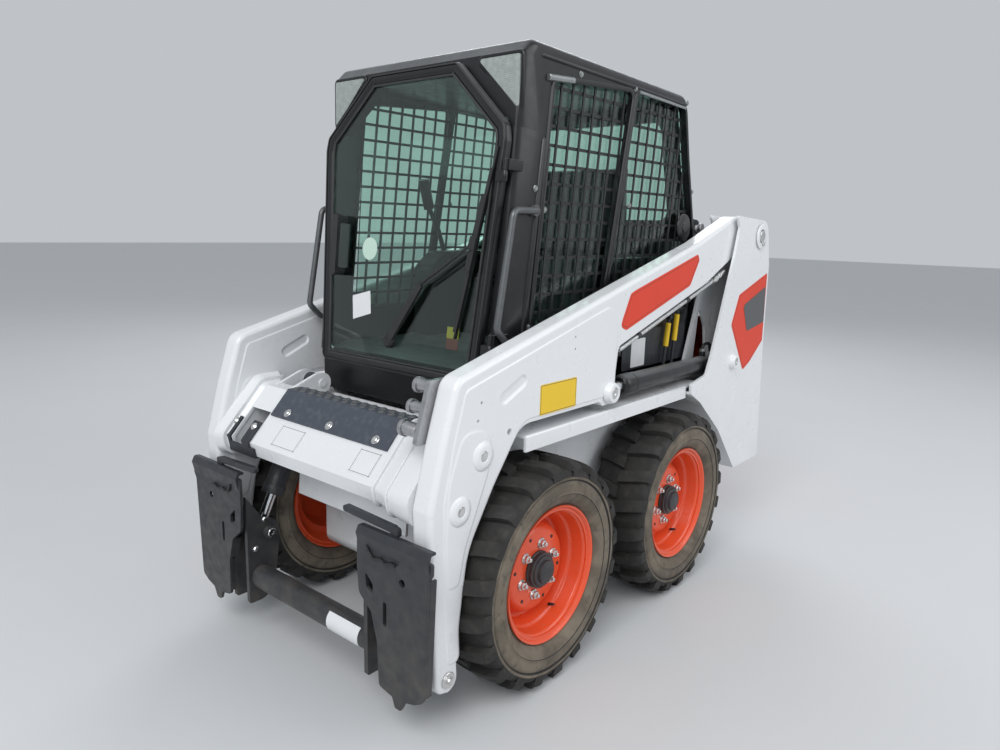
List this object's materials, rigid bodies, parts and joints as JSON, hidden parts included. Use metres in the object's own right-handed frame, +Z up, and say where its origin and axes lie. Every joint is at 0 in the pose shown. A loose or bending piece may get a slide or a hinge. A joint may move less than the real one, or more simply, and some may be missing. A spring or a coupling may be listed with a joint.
{
  "type": "skid steer loader",
  "caption": "Compact skid steer loader on lugged tyres with radial lift arms, a quick coupler, a closed cab with a glass door, and a rear engine under a hood.",
  "frame": {"origin": "On the ground, in the middle of the overall length and width.", "axes": "+Z up, -Y ahead, +X to the operator's left."},
  "size_m": [1.196, 2.105, 1.8575],
  "materials": {
    "white_paint": "gloss",
    "black_paint": "satin",
    "rim_red": "gloss",
    "tyre": "matte",
    "bare_steel": "satin",
    "rod_chrome": "polished",
    "engine_cast": "rough",
    "radiator_metal": "satin",
    "tinted_glass": "clear",
    "lens": "gloss",
    "trim_plastic": "matte",
    "seat_vinyl": "satin"
  },
  "bodies": {
    "frame": {"frame_tub": "white_paint", "axles_front": "bare_steel", "axles_rear": "bare_steel", "ledge_left": "white_paint", "ledge_right": "white_paint", "tower_left": "white_paint", "tower_right": "white_paint", "bulkhead": "black_paint", "engine": "engine_cast", "radiator": "radiator_metal", "cab_base": "black_paint", "tailgate_hinges": "bare_steel"},
    "lift_arms": {"arm_left": "white_paint", "arm_right": "white_paint", "crossmember": "white_paint", "crossmember_skirt": "white_paint", "tread_plate": "black_paint", "hose_bracket": "black_paint", "aux_couplers": "bare_steel"},
    "coupler": {"coupler_plate_left": "black_paint", "coupler_plate_right": "black_paint", "coupler_frame": "black_paint", "lock_lever_left": "black_paint", "lock_lever_right": "black_paint"},
    "lift_barrel_left": {"lift_barrel_left": "black_paint"},
    "lift_rod_left": {"lift_rod_left": "rod_chrome"},
    "lift_barrel_right": {"lift_barrel_right": "black_paint"},
    "lift_rod_right": {"lift_rod_right": "rod_chrome"},
    "tilt_barrel": {"tilt_barrel": "black_paint"},
    "tilt_rod": {"tilt_rod": "rod_chrome"},
    "cab": {"cab_shell": "black_paint", "screen_left": "black_paint", "screen_right": "black_paint", "seat_box": "black_paint", "seat": "seat_vinyl", "control_left": "trim_plastic", "control_right": "trim_plastic", "grab_handle_left": "black_paint", "grab_handle_right": "black_paint", "corner_lens_left": "lens", "corner_lens_right": "lens", "rear_window": "tinted_glass", "side_window_left": "tinted_glass", "side_window_right": "tinted_glass", "roof_panel": "black_paint"},
    "door": {"door_frame": "black_paint", "door_glass": "tinted_glass", "door_latch": "trim_plastic", "wiper": "trim_plastic"},
    "tailgate": {"tailgate": "white_paint"},
    "hood": {"hood": "black_paint"},
    "wheel_front_left": {"rim_front_left": "rim_red", "tyre_front_left": "tyre"},
    "wheel_front_right": {"rim_front_right": "rim_red", "tyre_front_right": "tyre"},
    "wheel_rear_left": {"rim_rear_left": "rim_red", "tyre_rear_left": "tyre"},
    "wheel_rear_right": {"rim_rear_right": "rim_red", "tyre_rear_right": "tyre"}
  },
  "joints": [
    {"name": "wheel_front_left_spin", "type": "hinge", "parent": "frame", "child": "wheel_front_left", "pos_m": [0.49, -0.566, 0.343], "axis": [1, 0, 0], "continuous": true},
    {"name": "wheel_front_right_spin", "type": "hinge", "parent": "frame", "child": "wheel_front_right", "pos_m": [-0.49, -0.566, 0.343], "axis": [1, 0, 0], "continuous": true},
    {"name": "wheel_rear_left_spin", "type": "hinge", "parent": "frame", "child": "wheel_rear_left", "pos_m": [0.49, 0.234, 0.343], "axis": [1, 0, 0], "continuous": true},
    {"name": "wheel_rear_right_spin", "type": "hinge", "parent": "frame", "child": "wheel_rear_right", "pos_m": [-0.49, 0.234, 0.343], "axis": [1, 0, 0], "continuous": true},
    {"name": "lift", "type": "hinge", "parent": "frame", "child": "lift_arms", "pos_m": [0, 0.864, 1.326], "axis": [-1, 0, 0], "range_deg": [0, 67]},
    {"name": "coupler_tilt", "type": "hinge", "parent": "lift_arms", "child": "coupler", "pos_m": [0, -0.955, 0.169], "axis": [1, 0, 0], "range_deg": [0, 100]},
    {"name": "cab_tilt", "type": "hinge", "parent": "frame", "child": "cab", "pos_m": [0, 0.562, 1.352], "axis": [-1, 0, 0], "range_deg": [0, 45]},
    {"name": "door_swing", "type": "hinge", "parent": "cab", "child": "door", "pos_m": [0.402, -0.63631, 1.33573], "axis": [0, -0.0993, -0.9951], "range_deg": [-80, 0]},
    {"name": "tailgate_swing", "type": "hinge", "parent": "frame", "child": "tailgate", "pos_m": [0.417, 1.025, 0.6507], "axis": [0, 0.0956, -0.9954], "range_deg": [0, 90]},
    {"name": "hood_lift", "type": "hinge", "parent": "frame", "child": "hood", "pos_m": [0, 0.548, 1.219], "axis": [1, 0, 0], "range_deg": [0, 60]},
    {"name": "lift_barrel_left_swing", "type": "hinge", "parent": "frame", "child": "lift_barrel_left", "pos_m": [0.493, 0.681, 0.822], "axis": [-1, 0, 0], "range_deg": [0, 64]},
    {"name": "lift_rod_left_slide", "type": "slide", "parent": "lift_barrel_left", "child": "lift_rod_left", "axis": [0, -1, 0.0077], "range_m": [0, 0.59]},
    {"name": "lift_barrel_right_swing", "type": "hinge", "parent": "frame", "child": "lift_barrel_right", "pos_m": [-0.493, 0.681, 0.822], "axis": [-1, 0, 0], "range_deg": [0, 64]},
    {"name": "lift_rod_right_slide", "type": "slide", "parent": "lift_barrel_right", "child": "lift_rod_right", "axis": [0, -1, 0.0077], "range_m": [0, 0.59]},
    {"name": "tilt_barrel_swing", "type": "hinge", "parent": "lift_arms", "child": "tilt_barrel", "pos_m": [-0.34, -0.726, 0.806], "axis": [-1, 0, 0], "range_deg": [0, 9]},
    {"name": "tilt_rod_slide", "type": "slide", "parent": "tilt_barrel", "child": "tilt_rod", "axis": [0, -0.4433, -0.8964], "range_m": [0, 0.27]}
  ],
  "couplings": [
    {"joint": "lift_barrel_left_swing", "follows": "lift", "ratio": 0.95},
    {"joint": "lift_rod_left_slide", "follows": "lift", "m_per_rad": 0.495},
    {"joint": "lift_barrel_right_swing", "follows": "lift", "ratio": 0.95},
    {"joint": "lift_rod_right_slide", "follows": "lift", "m_per_rad": 0.495},
    {"joint": "tilt_barrel_swing", "follows": "coupler_tilt", "ratio": 0.085},
    {"joint": "tilt_rod_slide", "follows": "coupler_tilt", "m_per_rad": 0.15}
  ]
}
